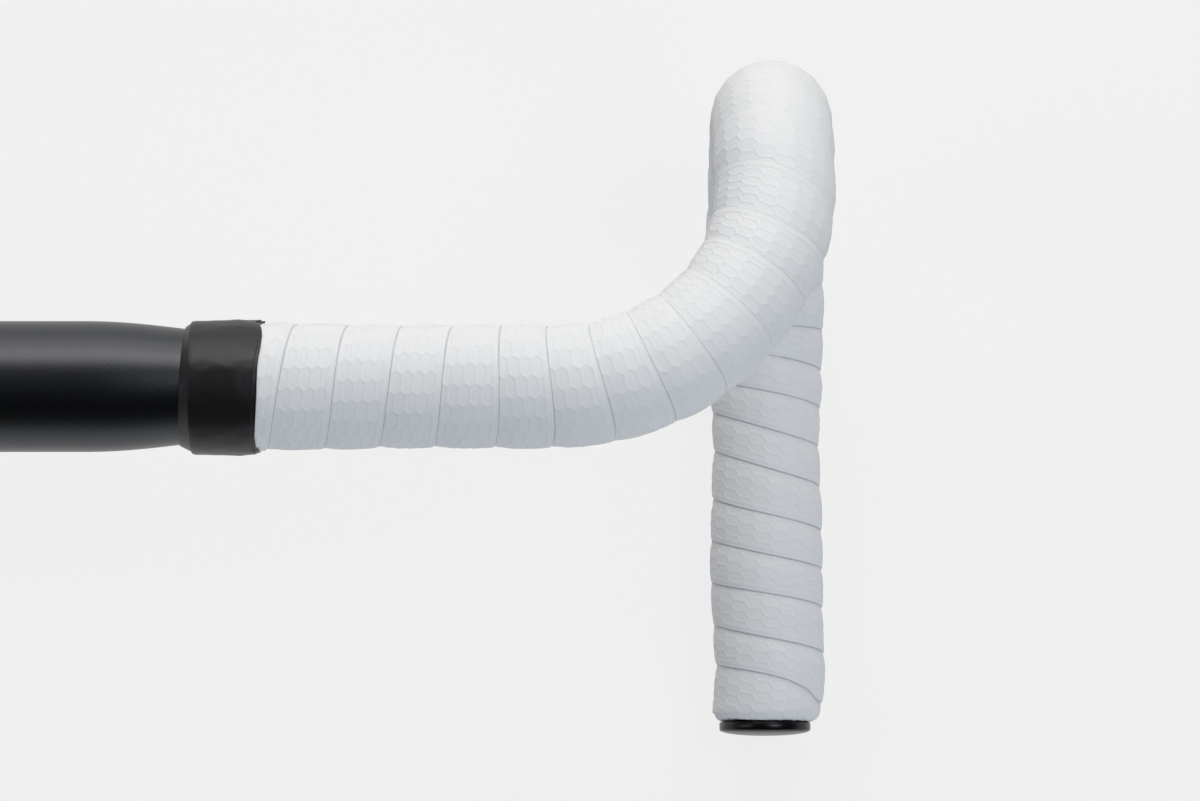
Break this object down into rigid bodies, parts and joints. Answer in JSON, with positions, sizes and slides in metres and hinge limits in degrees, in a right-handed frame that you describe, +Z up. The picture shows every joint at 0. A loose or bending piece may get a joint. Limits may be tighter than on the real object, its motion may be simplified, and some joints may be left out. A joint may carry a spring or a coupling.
{
  "type": "taped drop handlebar",
  "caption": "Black road bicycle drop handlebar, its tops, bends and drops wound in white embossed tape with black finishing bands and black domed end plugs.",
  "frame": {"origin": "middle of the stem clamp section, on the axis of the bar", "axes": "+X to the rider's right along the tops, +Y forward, +Z up; the straight drops are level"},
  "size_m": [0.4508, 0.1712, 0.1478],
  "materials": {
    "bar": "matt black anodised",
    "tape": "soft white polyurethane foam tape, embossed with staggered long hexagons",
    "finishing_tape": "black vinyl tape, slightly wrinkled",
    "plug": "black, satin to glossy"
  },
  "bodies": {
    "root": {"handlebar_tube": "bar", "tape_right": "tape", "tape_left": "tape", "finishing_tape_right": "finishing_tape", "finishing_tape_left": "finishing_tape", "end_plug_right": "plug", "end_plug_left": "plug"}
  },
  "joints": []
}
